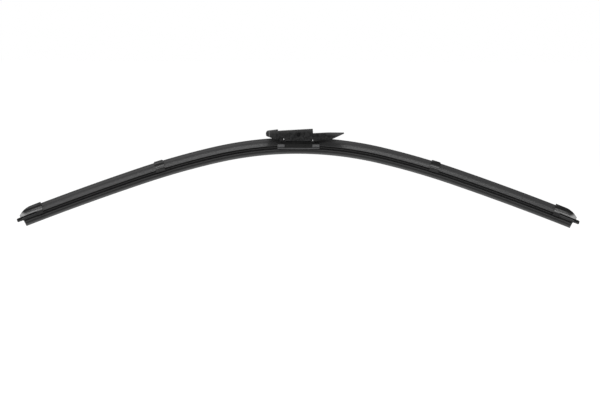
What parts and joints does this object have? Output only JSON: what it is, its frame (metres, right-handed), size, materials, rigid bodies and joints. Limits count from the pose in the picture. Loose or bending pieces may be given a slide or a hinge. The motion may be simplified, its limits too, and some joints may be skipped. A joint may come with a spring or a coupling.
{
  "type": "wiper blade",
  "caption": "Flat wiper blade: an arched rubber held by spring rails under a finned spoiler, with clips, end caps and a pivoting adapter for the wiper arm.",
  "frame": {"origin": "on the adapter's arm seat, its flat top face, straight above the pivot", "axes": "+X along the blade, to the adapter's tail; +Y across it, to the lee side of the spoiler; +Z away from the glass"},
  "size_m": [0.5794, 0.0172, 0.1013],
  "materials": {
    "wiping_rubber": "matt, a dusty grey near the lip",
    "spring_steel": "dark, phosphated",
    "spoiler": "satin thermoplastic elastomer",
    "clip": "fine grained",
    "end_cap": "semi gloss",
    "bracket": "dark grey coat",
    "liner": "matt",
    "pin": "dark",
    "sleeve": "turned",
    "adapter": "fine grained, satin"
  },
  "bodies": {
    "adapter": {"adapter": "adapter"},
    "blade": {"wiping_rubber": "wiping_rubber", "rail_front": "spring_steel", "rail_rear": "spring_steel", "spoiler_outer_left": "spoiler", "spoiler_inner_left": "spoiler", "spoiler_inner_right": "spoiler", "spoiler_outer_right": "spoiler", "rail_clip_left": "clip", "rail_clip_right": "clip", "end_cap_left": "end_cap", "end_cap_right": "end_cap", "centre_bracket": "bracket", "bracket_liner_front": "liner", "bracket_liner_rear": "liner", "pivot_pin": "pin", "spacer_sleeve": "sleeve"}
  },
  "joints": [
    {"name": "adapter_pivot", "type": "hinge", "parent": "adapter", "child": "blade", "pos_m": [0.00029, 0, -0.00479], "axis": [0, 1, 0], "range_deg": [-6, 6]}
  ]
}
